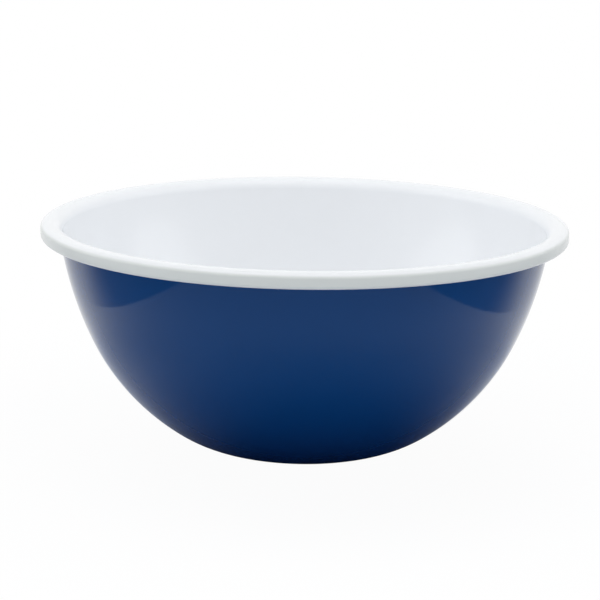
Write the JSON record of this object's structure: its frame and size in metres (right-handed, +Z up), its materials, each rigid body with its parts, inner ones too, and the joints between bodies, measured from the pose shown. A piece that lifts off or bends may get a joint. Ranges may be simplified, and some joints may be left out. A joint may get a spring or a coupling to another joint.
{
  "type": "enamel bowl",
  "caption": "Deep round enamelled steel bowl, glossy blue outside and white inside, with a white rolled rim, for mixing, washing and serving food.",
  "frame": {"origin": "centre of the base, on the surface that the bowl stands on", "axes": "+Z up along the bowl's axis of revolution"},
  "size_m": [0.26, 0.26, 0.114],
  "materials": {
    "steel": "bare drawn low-carbon sheet steel, hidden under the enamel",
    "ground_enamel": "dark bonding enamel, hidden under the cover coats",
    "white_enamel": "glossy white vitreous enamel",
    "rim_enamel": "glossy white vitreous enamel, run over the rolled rim",
    "blue_enamel": "glossy dark blue vitreous enamel"
  },
  "bodies": {
    "root": {"steel_bowl": "steel", "inside_ground_coat": "ground_enamel", "outside_ground_coat": "ground_enamel", "white_lining": "white_enamel", "white_rim": "rim_enamel", "blue_coat": "blue_enamel"}
  },
  "joints": []
}
